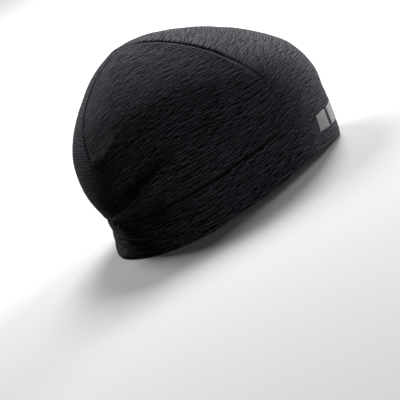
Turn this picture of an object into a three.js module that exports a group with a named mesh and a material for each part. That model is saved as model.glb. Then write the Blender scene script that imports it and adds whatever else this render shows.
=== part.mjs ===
// A close-fitting knitted beanie, standing on its rim in the form that it keeps when worn.
// Millimetres, +Z up. The face looks towards -Y, and the wearer's right is -X.
// The origin is on the floor, under the middle of the hat.
// The cloth is one tube with four darts that meet at the crown, sewn to a turned double hem.
import * as THREE from 'three';

// Driving dimensions of the cloth, its seams and the mark on the forehead
const CLOTH = 1.2;
const HEM = 2 * CLOTH;
const GAP = 0.3;
const SEAM_WIDTH = 5;
const SEAM_THICKNESS = 2;
const SEAM_HANG = 1;
const FRONT_SEAM_BELOW_CROWN = 0.5;
const BACK_SEAM_BELOW_CROWN = 1.4;
const BLOCK_COUNT = 5;
const BLOCK_WIDTH = 15;
const BLOCK_GAP = 5;
const BLOCK_THICKNESS = 0.6;
const BLOCK_FOOT = 13;
const BLOCK_HEAD = 27.5;

// Outline of the hat, a row for each level from the rim to the crown. The reaches are
// measured from the origin's upright line, widest is how far behind it the section is
// widest, a power is the squareness of a half, and a seam is its angle from the front
const LEVEL_COLUMNS = ['height', 'front', 'back', 'half', 'widest', 'frontPower', 'backPower',
  'frontSeam', 'backSeam'];
const LEVELS = [
  [0, 98, 102, 79.5, 22, 1.95, 2.1, 50, 145],
  [12, 100.5, 100.5, 80, 21, 1.95, 2.1, 50, 145],
  [36, 103, 100.5, 81, 19, 2.05, 2.1, 50, 145],
  [60, 103.5, 103.5, 81, 17, 2.15, 2.15, 51, 144],
  [84, 95, 98.5, 76, 17, 2.2, 2.2, 50, 146],
  [105, 74, 85, 65, 19, 2.2, 2.2, 48, 156],
  [121, 51.5, 68.5, 50, 21, 2.2, 2.2, 47, 163],
  [133.5, 27.5, 52.5, 33, 24, 2.1, 2.1, 47, 162],
  [141, 4.5, 36, 18, 26, 2, 2, 47, 158],
  [144.5, -26, 26, 0, 26, 2, 2, 47, 155],
];
const HEM_TOP_LEVEL = 2;
const DART_END_LEVEL = 3.9;
const CROWN_LEVEL = LEVELS.length - 1;
const RIM_FOLD_LEVEL = 0.09;
const SEAM_CLEARANCE_LEVEL = 0.0065;
const BAND_SEAM_DROP_LEVEL = 0.02;

// Fineness of the grids that the pieces are made of
const BODY_RINGS_PER_LEVEL = 3;
const HEM_ROWS = 6;
const DART_STEPS = 18;
const BLOCK_STEPS = 4;
const BLOCK_ROWS = 3;
const RUN_STEP_DEGREES = 0.25;
const FLOOR_STRIP = [0.2, 0.8];

// The rim is pulled up over the temples and the back corners of the head, and the hem is
// narrower at the nape. Each row is an angle from the front and how far the edge moves up
const RIM_WAVE = [
  [0, 0], [8, 0], [38, 6.2], [46, 6.2], [72, 3], [98, 0], [126, 0], [154, 2.5], [172, 0], [180, 0],
];
const HEM_TOP_WAVE = [[0, 3], [40, 0], [95, 0], [140, -5], [180, -5]];
const RIM_WAVE_HEIGHT = 110;

// Folds and hollows. rise is how far one stands out of the cloth, or in if it is below 0,
// width is its half width, and path goes through pairs of an angle and a height
const FOLDS = [
  { name: 'right fold', rise: 4.2, width: 6, path: [[143, 37], [126, 48], [110, 57], [97, 64], [80, 68]] },
  { name: 'right hollow', rise: -4, width: 5.5, path: [[168, 27], [143, 33], [126, 40], [112, 47]] },
  { name: 'right hem wrinkle', rise: -1.3, width: 4, path: [[154, 18], [134, 24], [121, 24], [106, 17]] },
  { name: 'right ear bulge', rise: 4, width: 15, path: [[124, 38], [100, 40], [70, 38]] },
  { name: 'right side hollow', rise: -3.2, width: 13, path: [[138, 62], [118, 70], [96, 74], [72, 76]] },
  { name: 'right dart pucker', rise: 1.4, width: 5, path: [[149, 84], [132, 87], [118, 98]] },
  { name: 'right dart hollow', rise: -1.2, width: 5, path: [[148, 77], [133, 79], [120, 87]] },
  { name: 'left fold', rise: 2.8, width: 6, path: [[-141, 36], [-124, 46], [-106, 57], [-86, 62]] },
  { name: 'left hollow', rise: -2.6, width: 5.5, path: [[-166, 26], [-141, 31], [-120, 40], [-108, 47]] },
  { name: 'left ear bulge', rise: 4, width: 15, path: [[-124, 38], [-100, 40], [-70, 38]] },
  { name: 'left side hollow', rise: -3.2, width: 13, path: [[-138, 62], [-118, 70], [-96, 74], [-72, 76]] },
  { name: 'left dart pucker', rise: 1.2, width: 5, path: [[-148, 83], [-134, 86], [-121, 94]] },
  { name: 'nape pinch', rise: -1, width: 6, path: [[140, 17], [160, 16], [180, 16], [200, 16], [220, 17]] },
];
const FOLD_FADE_SHARE = 0.25;
const MM_PER_DEGREE = 1.55;

// Each dart pulls a narrow groove into the cloth. The pull grows with the level: softly on
// the front darts, which run out on the temples
const DART_GROOVE = { depth: 1.3, width: 2.6 };
const FRONT_DART_PULL = [{ share: 0.3, start: 2.6, run: 1.3 }, { share: 0.7, start: 3.9, run: 1.6 }];
const BACK_DART_PULL = [{ share: 1, start: 3.6, run: 0.7 }];

// The gores between the darts stay flat, so they meet at an edge that stands a little
// proud, half as much behind as in front. It starts at a level, grows over a run of levels,
// and fades out at the crown
const SEAM_RIDGES = [
  { seam: 'frontSeam', rise: 2, width: 8, start: 4, run: 2 },
  { seam: 'backSeam', rise: 1, width: 8, start: 4, run: 2 },
];
const RIDGE_CROWN_FADE = 1;

// The body steps in above the double hem, except over the forehead where it is taut
const HEM_STEP = { depth: 1.2, foreheadShare: 0.25, foreheadEnd: 40, fade: 30, reach: 14 };

// The rim flares where it turns out at the nape
const NAPE_FLARE = { rise: 2.2, start: 142, fade: 25, reach: 11 };

// Section of an overlocked seam, as shares of its half width and of its thickness
const SEAM_SECTION = [[1, 0], [1, 0.7], [0.5, 1], [-0.5, 1], [-1, 0.7], [-1, 0]];

function smooth(value) {
  const t = Math.min(Math.max(value, 0), 1);
  return t * t * (3 - 2 * t);
}

function bell(distance, width) {
  return Math.exp(-((distance / width) ** 2));
}

// The shorter way round from one angle to another, from -180 to 180 degrees
function turnBetween(from, to) {
  return ((to - from + 540) % 360 + 360) % 360 - 180;
}

function levelRow(index) {
  if (index < 0) {
    return LEVELS[0].map((value, column) => 2 * value - LEVELS[1][column]);
  }
  if (index <= CROWN_LEVEL) {
    return LEVELS[index];
  }
  // Past the crown the section runs down the other side, which makes the top round
  const below = LEVELS[2 * CROWN_LEVEL - index];
  const crown = LEVELS[CROWN_LEVEL];
  const mirrored = new Set([1, 2, 3]);
  return below.map((value, column) => (mirrored.has(column) ? 2 * crown[column] - value : value));
}

// The outline's values between the rows, on a smooth curve through them
function outlineAt(level) {
  const index = Math.min(Math.floor(level), CROWN_LEVEL);
  const t = level - index;
  const [a, b, c, d] = [-1, 0, 1, 2].map((step) => levelRow(index + step));
  const entries = LEVEL_COLUMNS.map((name, column) => {
    const [p, q, r, s] = [a[column], b[column], c[column], d[column]];
    const value = q + 0.5 * t * (r - p + t * (2 * p - 5 * q + 4 * r - s + t * (3 * (q - r) + s - p)));
    return [name, value];
  });
  return Object.fromEntries(entries);
}

// How far an edge moves up at an angle, the same on both sides of the head
function waveAt(wave, angle) {
  const side = Math.abs(turnBetween(0, angle));
  const next = Math.max(wave.findIndex(([place]) => place >= side), 1);
  const [startAngle, startRise] = wave[next - 1];
  const [endAngle, endRise] = wave[next];
  return THREE.MathUtils.lerp(startRise, endRise, smooth((side - startAngle) / (endAngle - startAngle)));
}

// A point of the hat's plain outline: level 0 is the rim and the last level the crown
function outlinePoint(level, angle) {
  const row = outlineAt(level);
  const turn = THREE.MathUtils.degToRad(angle);
  const ahead = Math.cos(turn);
  const aside = Math.sin(turn);
  const power = 2 / (ahead > 0 ? row.frontPower : row.backPower);
  const reach = ahead > 0 ? row.front + row.widest : row.back - row.widest;
  const rimRise = waveAt(RIM_WAVE, angle) * Math.max(1 - row.height / RIM_WAVE_HEIGHT, 0);
  const hemTopRise = waveAt(HEM_TOP_WAVE, angle) * bell(level - HEM_TOP_LEVEL, 1);
  return new THREE.Vector3(
    -row.half * Math.sign(aside) * Math.abs(aside) ** power,
    row.widest - reach * Math.sign(ahead) * Math.abs(ahead) ** power,
    row.height + rimRise + hemTopRise,
  );
}

function outlineNormal(level, angle) {
  if (level > CROWN_LEVEL - 0.001) {
    return new THREE.Vector3(0, 0, 1);
  }
  const along = outlinePoint(level, angle + 0.5).sub(outlinePoint(level, angle - 0.5));
  const upward = outlinePoint(level + 0.01, angle).sub(outlinePoint(level - 0.01, angle));
  return upward.cross(along).normalize();
}

// Distance from a place on the cloth to a fold's path, and how far along the path it is
function nearestOnPath(path, angle, height) {
  let travelled = 0;
  let best = { distance: Infinity, travelled: 0 };
  for (let i = 1; i < path.length; i += 1) {
    const [startAngle, startHeight] = path[i - 1];
    const [endAngle, endHeight] = path[i];
    const step = new THREE.Vector2((endAngle - startAngle) * MM_PER_DEGREE, endHeight - startHeight);
    const place = new THREE.Vector2(turnBetween(startAngle, angle) * MM_PER_DEGREE, height - startHeight);
    const share = THREE.MathUtils.clamp(place.dot(step) / step.lengthSq(), 0, 1);
    const distance = place.sub(step.clone().multiplyScalar(share)).length();
    if (distance < best.distance) {
      best = { distance, travelled: travelled + share * step.length() };
    }
    travelled += step.length();
  }
  return { distance: best.distance, share: best.travelled / travelled };
}

function foldRise(angle, height) {
  return FOLDS.reduce((total, { rise, width, path }) => {
    const { distance, share } = nearestOnPath(path, angle, height);
    const ends = smooth(share / FOLD_FADE_SHARE) * smooth((1 - share) / FOLD_FADE_SHARE);
    return total + rise * bell(distance, width) * ends;
  }, 0);
}

function pullAt(steps, level) {
  return steps.reduce((total, { share, start, run }) => total + share * smooth((level - start) / run), 0);
}

// Distance round the hat from a place to a seam that lies at an angle
function distanceToSeam(row, seamAngle, angle) {
  const radius = (2 * row.half + row.front + row.back) / 4;
  return Math.abs(THREE.MathUtils.degToRad(turnBetween(seamAngle, angle))) * radius;
}

function dartDepth(level, angle, row) {
  const frontPull = pullAt(FRONT_DART_PULL, level);
  const backPull = pullAt(BACK_DART_PULL, level);
  const seams = [[row.frontSeam, frontPull], [row.backSeam, backPull]]
    .flatMap(([place, pull]) => [[place, pull], [-place, pull]]);
  const left = seams.reduce((rest, [place, pull]) => (
    rest * (1 - pull * bell(distanceToSeam(row, place, angle), DART_GROOVE.width))
  ), 1);
  return DART_GROOVE.depth * (1 - left);
}

function seamRidges(level, angle, row) {
  const total = SEAM_RIDGES.reduce((sum, { seam, rise, width, start, run }) => {
    const near = [row[seam], -row[seam]]
      .reduce((part, place) => part + Math.exp(-distanceToSeam(row, place, angle) / width), 0);
    return sum + rise * near * smooth((level - start) / run);
  }, 0);
  return total * smooth((CROWN_LEVEL - level) / RIDGE_CROWN_FADE);
}

function hemStep(level, angle, height) {
  if (level < HEM_TOP_LEVEL) {
    return 0;
  }
  const { depth, foreheadShare, foreheadEnd, fade, reach } = HEM_STEP;
  const side = Math.abs(turnBetween(0, angle));
  const share = THREE.MathUtils.lerp(foreheadShare, 1, smooth((side - foreheadEnd) / fade));
  return depth * share * bell(height - LEVELS[HEM_TOP_LEVEL][0], reach);
}

function napeFlare(angle, height) {
  const { rise, start, fade, reach } = NAPE_FLARE;
  const side = Math.abs(turnBetween(0, angle));
  return rise * smooth((side - start) / fade) * bell(height, reach);
}

// A point of the cloth, moved inwards from its outer face by the given depth
function clothPoint(level, angle, inward = 0) {
  const row = outlineAt(level);
  const rise = foldRise(angle, row.height) + napeFlare(angle, row.height) + seamRidges(level, angle, row)
    - dartDepth(level, angle, row) - hemStep(level, angle, row.height);
  return outlinePoint(level, angle).addScaledVector(outlineNormal(level, angle), rise - inward);
}

// Columns of the cloth's grid run along the darts, with one close on each side of a dart
const GORES = [
  { from: (row) => -row.frontSeam, to: (row) => row.frontSeam, columns: 14 },
  { from: (row) => row.frontSeam, to: (row) => row.backSeam, columns: 16 },
  { from: (row) => row.backSeam, to: (row) => 360 - row.backSeam, columns: 12 },
  { from: (row) => 360 - row.backSeam, to: (row) => 360 - row.frontSeam, columns: 16 },
];
const DART_EDGE_SHARE = 0.035;

function goreShares(columns) {
  const inner = Array.from({ length: columns - 2 }, (_, i) => (
    THREE.MathUtils.lerp(DART_EDGE_SHARE, 1 - DART_EDGE_SHARE, i / (columns - 2))
  ));
  return [0, ...inner, 1 - DART_EDGE_SHARE];
}

const COLUMNS = GORES.flatMap(({ from, to, columns }) => goreShares(columns).map((share) => (
  (level) => {
    const row = outlineAt(level);
    return THREE.MathUtils.lerp(from(row), to(row), share);
  }
)));

function range(from, to, count) {
  return Array.from({ length: count + 1 }, (_, i) => THREE.MathUtils.lerp(from, to, i / count));
}

// A closed body from its points and triangles, turned so that its faces point outwards
function solid(points, triangles) {
  const volume = triangles.reduce((sum, [a, b, c]) => (
    sum + points[a].dot(points[b].clone().cross(points[c]))
  ), 0);
  const outward = volume > 0 ? triangles : triangles.map(([a, b, c]) => [a, c, b]);
  const geometry = new THREE.BufferGeometry().setFromPoints(points);
  geometry.setIndex(outward.flat());
  geometry.computeVertexNormals();
  return geometry;
}

// Triangles between neighbouring loops of the same number of points
function bandsBetween(loops, closed) {
  const size = loops[0].length;
  const bands = closed ? loops.length : loops.length - 1;
  const triangles = [];
  for (let i = 0; i < bands; i += 1) {
    const next = (i + 1) % loops.length;
    for (let j = 0; j < size; j += 1) {
      const k = (j + 1) % size;
      const [a, b, c, d] = [i * size + j, i * size + k, next * size + k, next * size + j];
      triangles.push([a, b, c], [a, c, d]);
    }
  }
  return triangles;
}

function ring(loops) {
  return solid(loops.flat(), bandsBetween(loops, true));
}

function bar(loops) {
  const size = loops[0].length;
  const last = (loops.length - 1) * size;
  const triangles = bandsBetween(loops, false);
  for (let j = 1; j < size - 1; j += 1) {
    triangles.push([0, j + 1, j], [last, last + j, last + j + 1]);
  }
  return solid(loops.flat(), triangles);
}

// An open shell: loops run from the first tip down outside and up inside to the last tip
function shell(firstTip, loops, lastTip) {
  const size = loops[0].length;
  const points = [...loops.flat(), firstTip, lastTip];
  const last = (loops.length - 1) * size;
  const triangles = bandsBetween(loops, false);
  for (let j = 0; j < size; j += 1) {
    const k = (j + 1) % size;
    triangles.push([points.length - 2, k, j], [points.length - 1, last + j, last + k]);
  }
  return solid(points, triangles);
}

function knitBody() {
  const count = (CROWN_LEVEL - HEM_TOP_LEVEL) * BODY_RINGS_PER_LEVEL;
  const foot = HEM_TOP_LEVEL + SEAM_CLEARANCE_LEVEL;
  const levels = range(CROWN_LEVEL, foot, count).slice(1);
  const loopAt = (inward) => (level) => COLUMNS.map((angleAt) => clothPoint(level, angleAt(level), inward));
  const outside = levels.map(loopAt(0));
  const inside = levels.map(loopAt(CLOTH)).reverse();
  const tip = (inward) => clothPoint(CROWN_LEVEL, 0, inward);
  return shell(tip(0), [...outside, ...inside], tip(CLOTH));
}

// The hem is folded at the rim. Its fold is round, and flat where it touches the floor
function hemBand() {
  const levels = range(HEM_TOP_LEVEL - SEAM_CLEARANCE_LEVEL, RIM_FOLD_LEVEL, HEM_ROWS);
  const loops = COLUMNS.map((angleAt) => {
    const onFloor = (inward) => {
      const point = clothPoint(0, angleAt(0), inward);
      return point.setZ(waveAt(RIM_WAVE, angleAt(0)));
    };
    const outside = levels.map((level) => clothPoint(level, angleAt(level)));
    const inside = levels.map((level) => clothPoint(level, angleAt(level), HEM)).reverse();
    return [...outside, ...FLOOR_STRIP.map((share) => onFloor(HEM * share)), ...inside];
  });
  return ring(loops);
}

// Each dart is closed by a flat overlocked seam on the inside of the cloth
function dartSeam({ angleAt, belowCrown }) {
  const loops = range(CROWN_LEVEL - belowCrown, DART_END_LEVEL, DART_STEPS).map((level) => {
    const angle = angleAt(outlineAt(level));
    const normal = outlineNormal(level, angle);
    const along = clothPoint(level + 0.02, angleAt(outlineAt(level + 0.02)))
      .sub(clothPoint(level - 0.02, angleAt(outlineAt(level - 0.02))));
    const across = along.cross(normal).normalize().multiplyScalar(SEAM_WIDTH / 2);
    const middle = clothPoint(level, angle, CLOTH + SEAM_HANG);
    return SEAM_SECTION.map(([side, depth]) => (
      middle.clone().addScaledVector(across, side).addScaledVector(normal, -depth * SEAM_THICKNESS)
    ));
  });
  return bar(loops);
}

// The overlocked seam that joins the body to the hem lies on the inside of the hem's top
function bandSeam() {
  const half = SEAM_WIDTH / 2 / (LEVELS[HEM_TOP_LEVEL][0] - LEVELS[HEM_TOP_LEVEL - 1][0]);
  const middle = HEM_TOP_LEVEL - half - BAND_SEAM_DROP_LEVEL;
  return ring(COLUMNS.map((angleAt) => SEAM_SECTION.map(([side, depth]) => (
    clothPoint(middle + side * half, angleAt(middle), HEM + SEAM_HANG + depth * SEAM_THICKNESS)
  ))));
}

// Angle at which the cloth has run a given distance round from the middle of the forehead
function angleAtRun(level, run) {
  const stepAngle = RUN_STEP_DEGREES * Math.sign(run);
  let angle = 0;
  let covered = 0;
  let last = clothPoint(level, 0);
  while (covered < Math.abs(run)) {
    angle += stepAngle;
    const point = clothPoint(level, angle);
    covered += point.distanceTo(last);
    last = point;
  }
  return angle;
}

// One plain rectangle of the light-reflecting print, following the forehead
function reflectiveBlock(index) {
  const middle = (index - (BLOCK_COUNT - 1) / 2) * (BLOCK_WIDTH + BLOCK_GAP);
  const levelOf = (height) => 1 + (height - LEVELS[1][0]) / (LEVELS[2][0] - LEVELS[1][0]);
  const foot = levelOf(BLOCK_FOOT);
  const head = levelOf(BLOCK_HEAD);
  const loops = range(middle - BLOCK_WIDTH / 2, middle + BLOCK_WIDTH / 2, BLOCK_STEPS).map((run) => {
    const angle = angleAtRun(1, run);
    const levels = range(foot, head, BLOCK_ROWS);
    const inner = levels.map((level) => clothPoint(level, angle, -GAP));
    const outer = levels.map((level) => clothPoint(level, angle, -GAP - BLOCK_THICKNESS)).reverse();
    return [...inner, ...outer];
  });
  return bar(loops);
}

function piece(name, geometry, { color, roughness }) {
  const mesh = new THREE.Mesh(geometry, new THREE.MeshStandardMaterial({ color, roughness, metalness: 0 }));
  mesh.name = name;
  return mesh;
}

const KNIT = { color: '#252428', roughness: 0.95 };
const THREAD = { color: '#17161a', roughness: 0.9 };
const REFLECTIVE_PRINT = { color: '#9b9b9e', roughness: 0.45 };

// The back seams lie close together near the crown, so they start a little lower
const DARTS = {
  front_right: { angleAt: (row) => row.frontSeam, belowCrown: FRONT_SEAM_BELOW_CROWN },
  back_right: { angleAt: (row) => row.backSeam, belowCrown: BACK_SEAM_BELOW_CROWN },
  back_left: { angleAt: (row) => -row.backSeam, belowCrown: BACK_SEAM_BELOW_CROWN },
  front_left: { angleAt: (row) => -row.frontSeam, belowCrown: FRONT_SEAM_BELOW_CROWN },
};

const beanie = new THREE.Group();
beanie.add(piece('knit_body', knitBody(), KNIT));
beanie.add(piece('hem_band', hemBand(), KNIT));
beanie.add(piece('band_seam', bandSeam(), THREAD));
for (const [place, dart] of Object.entries(DARTS)) {
  beanie.add(piece(`dart_seam_${place}`, dartSeam(dart), THREAD));
}
for (let index = 0; index < BLOCK_COUNT; index += 1) {
  beanie.add(piece(`reflective_block_${index + 1}`, reflectiveBlock(index), REFLECTIVE_PRINT));
}

export default beanie;
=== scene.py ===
# %% [markdown]
# A knitted beanie
#
# The hat is a close-fitting cap of fine heathered jersey. Four darts meet at its crown, and
# a turned double hem runs round its rim. It stands on that rim in the form that it keeps
# when it is worn. The face looks towards -Y, and the wearer's right is -X.
#
# Everything here is in metres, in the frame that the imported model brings. The shape is
# written in millimetres, as a dressmaker would, and turned into metres when a mesh is made.

import math

import bmesh
import bpy
import numpy as np
from mathutils import Matrix, Vector


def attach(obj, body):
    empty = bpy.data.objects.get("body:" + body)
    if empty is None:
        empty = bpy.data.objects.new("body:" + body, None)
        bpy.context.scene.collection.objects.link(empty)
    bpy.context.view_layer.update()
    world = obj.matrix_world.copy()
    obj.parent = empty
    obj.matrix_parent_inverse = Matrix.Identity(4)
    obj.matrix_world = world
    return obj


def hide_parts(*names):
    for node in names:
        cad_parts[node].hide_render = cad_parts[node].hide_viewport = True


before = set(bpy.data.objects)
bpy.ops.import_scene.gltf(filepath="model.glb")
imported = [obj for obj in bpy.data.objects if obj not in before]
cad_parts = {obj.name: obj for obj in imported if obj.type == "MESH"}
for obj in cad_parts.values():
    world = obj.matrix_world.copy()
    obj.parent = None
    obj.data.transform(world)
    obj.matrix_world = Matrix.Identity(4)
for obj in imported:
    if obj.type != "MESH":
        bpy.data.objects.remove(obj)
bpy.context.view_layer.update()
MM = 0.001
print("nodes:", ", ".join(sorted(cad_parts)))

# %% [markdown]
# Camera
#
# The picture that this hat is compared with is square. It looks at the hat's right side
# from a little above, and its horizon is tilted, so the forehead is up to the right. A
# camera could be aimed with a Track To constraint, but a rolled camera is easier to place
# by its own right, up and back directions. A long lens keeps the perspective weak.

# %% Camera
IMAGE_SIDE = 400
CAMERA_ELEVATION = math.radians(15.5)
CAMERA_ROLL = math.radians(29)
CAMERA_DISTANCE = 1.5
METRES_PER_PIXEL = 0.00079
SIGHT_POINT = Vector((0, 0, 0.068))
SIGHT_PIXEL = (192, 117.5)

back = Vector((-math.cos(CAMERA_ELEVATION), 0, math.sin(CAMERA_ELEVATION)))
level_right = Vector((0, -1, 0))
level_up = back.cross(level_right)
right = math.cos(CAMERA_ROLL) * level_right - math.sin(CAMERA_ROLL) * level_up
up = math.sin(CAMERA_ROLL) * level_right + math.cos(CAMERA_ROLL) * level_up
to_middle = [(IMAGE_SIDE / 2 - pixel) * METRES_PER_PIXEL for pixel in SIGHT_PIXEL]
middle = SIGHT_POINT + to_middle[0] * right - to_middle[1] * up

camera_data = bpy.data.cameras.new("camera")
camera_data.lens = camera_data.sensor_width * CAMERA_DISTANCE / (METRES_PER_PIXEL * IMAGE_SIDE)
camera = bpy.data.objects.new("camera", camera_data)
camera.matrix_world = Matrix.Translation(middle + CAMERA_DISTANCE * back) @ Matrix(
    (right, up, back)
).transposed().to_4x4()
bpy.context.collection.objects.link(camera)
bpy.context.scene.camera = camera
print("camera at", [round(value, 3) for value in camera.matrix_world.translation])
print("lens in mm:", round(camera_data.lens, 1))

# %% [markdown]
# Floor and light
#
# The studio is a plain pale floor under soft square lights. Dark cloth shows its form where
# light grazes it, so two lights hang above the far side of the hat: they catch its top, and
# leave the side that faces the camera deep. A low light shines on the forehead, and a weak
# one in front draws the folds and the hem. The floor's own bounce is kept off the hat, so
# its paleness can be chosen freely. The Standard view keeps near-white as near-white.

# %% Floor, lights and world
FLOOR_RADIUS = 14
FLOOR_CORNERS = 96
FLOOR_PALE = (0.65, 0.65, 0.65, 1)
LIGHT_AIM = Vector((0, 0, 0.08))
LIGHTS = [
    # name, place in metres, side in metres and power in watts
    ("key", (1.04, -0.60, 1.42), 0.7, 40),
    ("rear", (1.04, 0.60, 1.42), 0.7, 24),
    ("front", (0.90, -1.56, 0.30), 0.5, 40),
    ("fill", (-1.28, -1.24, 0.25), 0.3, 6.5),
]
WORLD_STRENGTH = 0.018


def principled(name):
    """A new material, its node tree and its Principled shader."""
    material = bpy.data.materials.new(name)
    material.use_nodes = True
    tree = material.node_tree
    return material, tree, tree.nodes["Principled BSDF"]


def set_surface(shader, roughness, specular, colour=None):
    """The plain values of a surface. A colour is left out where nodes give it."""
    shader.inputs["Roughness"].default_value = roughness
    shader.inputs["Specular IOR Level"].default_value = specular
    if colour is not None:
        shader.inputs["Base Color"].default_value = colour


def soft_light(name, place, size, power):
    """A square white area light that looks at the middle of the hat."""
    data = bpy.data.lights.new(name, "AREA")
    data.size = size
    data.energy = power
    light = bpy.data.objects.new(name, data)
    light.location = place
    light.rotation_euler = (LIGHT_AIM - Vector(place)).to_track_quat("-Z", "Y").to_euler()
    bpy.context.collection.objects.link(light)


floor_material, _, floor_shader = principled("studio floor")
set_surface(floor_shader, 0.9, 0.0, FLOOR_PALE)
bpy.ops.mesh.primitive_circle_add(vertices=FLOOR_CORNERS, radius=FLOOR_RADIUS, fill_type="NGON")
floor = bpy.context.object
floor.name = "studio_floor"
floor.data.materials.append(floor_material)
floor.visible_diffuse = False

for light_name, place, side, power in LIGHTS:
    soft_light(light_name, place, side, power)

world = bpy.data.worlds.new("studio")
world.use_nodes = True
world.node_tree.nodes["Background"].inputs["Color"].default_value = (1, 1, 1, 1)
world.node_tree.nodes["Background"].inputs["Strength"].default_value = WORLD_STRENGTH
bpy.context.scene.world = world
bpy.context.scene.view_settings.view_transform = "Standard"
print("lights:", [light.name for light in bpy.data.lights])

# %% [markdown]
# The outline of the hat
#
# A head is no box and no ball, so the outline is a short table of level sections, from
# the rim to the crown. Each section is a rounded box: two half superellipses, one in
# front and one behind, that meet where the head is widest. Between the rows the values
# run on a Catmull-Rom curve, which passes through every row. Angles are in degrees from
# the front, and grow towards the wearer's right.
#
# The same could be sculpted or drawn with a subdivided cage. A table is easier to check
# against a real head, and gives the same place on the cloth to every piece that needs it.

# %% Sections of the outline, in millimetres
COLUMNS = (
    "height", "front", "back", "half", "widest",
    "front_power", "back_power", "front_seam", "back_seam",
)
LEVELS = np.array([
    [0, 98, 102, 79.5, 22, 1.95, 2.1, 50, 145],
    [12, 100.5, 100.5, 80, 21, 1.95, 2.1, 50, 145],
    [36, 103, 100.5, 81, 19, 2.05, 2.1, 50, 145],
    [60, 103.5, 103.5, 81, 17, 2.15, 2.15, 51, 144],
    [84, 95, 98.5, 76, 17, 2.2, 2.2, 50, 146],
    [105, 74, 85, 65, 19, 2.2, 2.2, 48, 156],
    [121, 51.5, 68.5, 50, 21, 2.2, 2.2, 47, 163],
    [133.5, 27.5, 52.5, 33, 24, 2.1, 2.1, 47, 162],
    [141, 4.5, 36, 18, 26, 2, 2, 47, 158],
    [144.5, -26, 26, 0, 26, 2, 2, 47, 155],
])
HEM_TOP = 2
CROWN = len(LEVELS) - 1


def mirrored(row):
    """A section past the crown, where the outline runs down its other side."""
    past = row.copy()
    past[1:4] = 2 * LEVELS[-1][1:4] - row[1:4]
    return past


def section_at(level):
    """The named values of the outline at a level, on a smooth curve through the rows."""
    below = 2 * LEVELS[0] - LEVELS[1]
    rows = np.vstack([below, LEVELS, mirrored(LEVELS[-2]), mirrored(LEVELS[-3])])
    index = np.clip(np.floor(level).astype(int), 0, CROWN)
    t = (level - index)[..., None]
    p, q, r, s = (rows[index + step] for step in range(4))
    values = q + 0.5 * t * (r - p + t * (2 * p - 5 * q + 4 * r - s + t * (3 * (q - r) + s - p)))
    return {name: values[..., column] for column, name in enumerate(COLUMNS)}


print("levels:", len(LEVELS), "from the rim to", LEVELS[-1][0], "mm")

# %% [markdown]
# Waves of the rim
#
# The rim isn't cut straight: it rises over the temples and behind the ears. The hem is
# narrower at the nape, so its top edge has a wave of its own. Each wave is a few pairs of
# an angle and a rise, joined by smooth steps, and it is the same on both sides of the head.

# %% Waves and the plain outline
RIM_WAVE = [
    (0, 0), (8, 0), (38, 6.2), (46, 6.2), (72, 3),
    (98, 0), (126, 0), (154, 2.5), (172, 0), (180, 0),
]
RIM_WAVE_HEIGHT = 110
HEM_TOP_WAVE = [(0, 3), (40, 0), (95, 0), (140, -5), (180, -5)]


def smooth(value):
    """Zero below 0, one above 1, and a soft step between."""
    t = np.clip(value, 0, 1)
    return t * t * (3 - 2 * t)


def bell(distance, width):
    return np.exp(-((distance / width) ** 2))


def mix(start, end, share):
    return start + (end - start) * share


def turn_between(start, end):
    """The shorter way round from one angle to another, from -180 to 180 degrees."""
    return (end - start + 180) % 360 - 180


def side_angle(angle):
    return np.abs(turn_between(0, angle))


def wave_at(wave, angle):
    places, rises = np.array(wave, float).T
    side = side_angle(angle)
    index = np.clip(np.searchsorted(places, side), 1, len(places) - 1)
    share = (side - places[index - 1]) / (places[index] - places[index - 1])
    return mix(rises[index - 1], rises[index], smooth(share))


def outline_point(level, angle):
    """A point of the outline, before darts and folds, in millimetres."""
    row = section_at(level)
    ahead = np.cos(np.radians(angle))
    aside = np.sin(np.radians(angle))
    power = 2 / np.where(ahead > 0, row["front_power"], row["back_power"])
    reach = np.where(ahead > 0, row["front"] + row["widest"], row["back"] - row["widest"])
    rim_rise = wave_at(RIM_WAVE, angle) * np.maximum(1 - row["height"] / RIM_WAVE_HEIGHT, 0)
    hem_top_rise = wave_at(HEM_TOP_WAVE, angle) * bell(level - HEM_TOP, 1)
    x = -row["half"] * np.sign(aside) * np.abs(aside) ** power
    y = row["widest"] - reach * np.sign(ahead) * np.abs(ahead) ** power
    return np.stack([x, y, row["height"] + rim_rise + hem_top_rise], axis=-1)


def outline_normal(level, angle):
    """The direction that points straight out of the outline."""
    along = outline_point(level, angle + 0.5) - outline_point(level, angle - 0.5)
    upward = outline_point(level + 0.01, angle) - outline_point(level - 0.01, angle)
    normal = np.cross(upward, along)
    normal /= np.maximum(np.linalg.norm(normal, axis=-1, keepdims=True), 1e-12)
    at_crown = (level > CROWN - 0.001)[..., None]
    return np.where(at_crown, np.array([0.0, 0.0, 1.0]), normal)


rim_front = outline_point(np.array(0.0), np.array(0.0))
print("forehead end of the rim, in mm:", rim_front.round(1))
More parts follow.
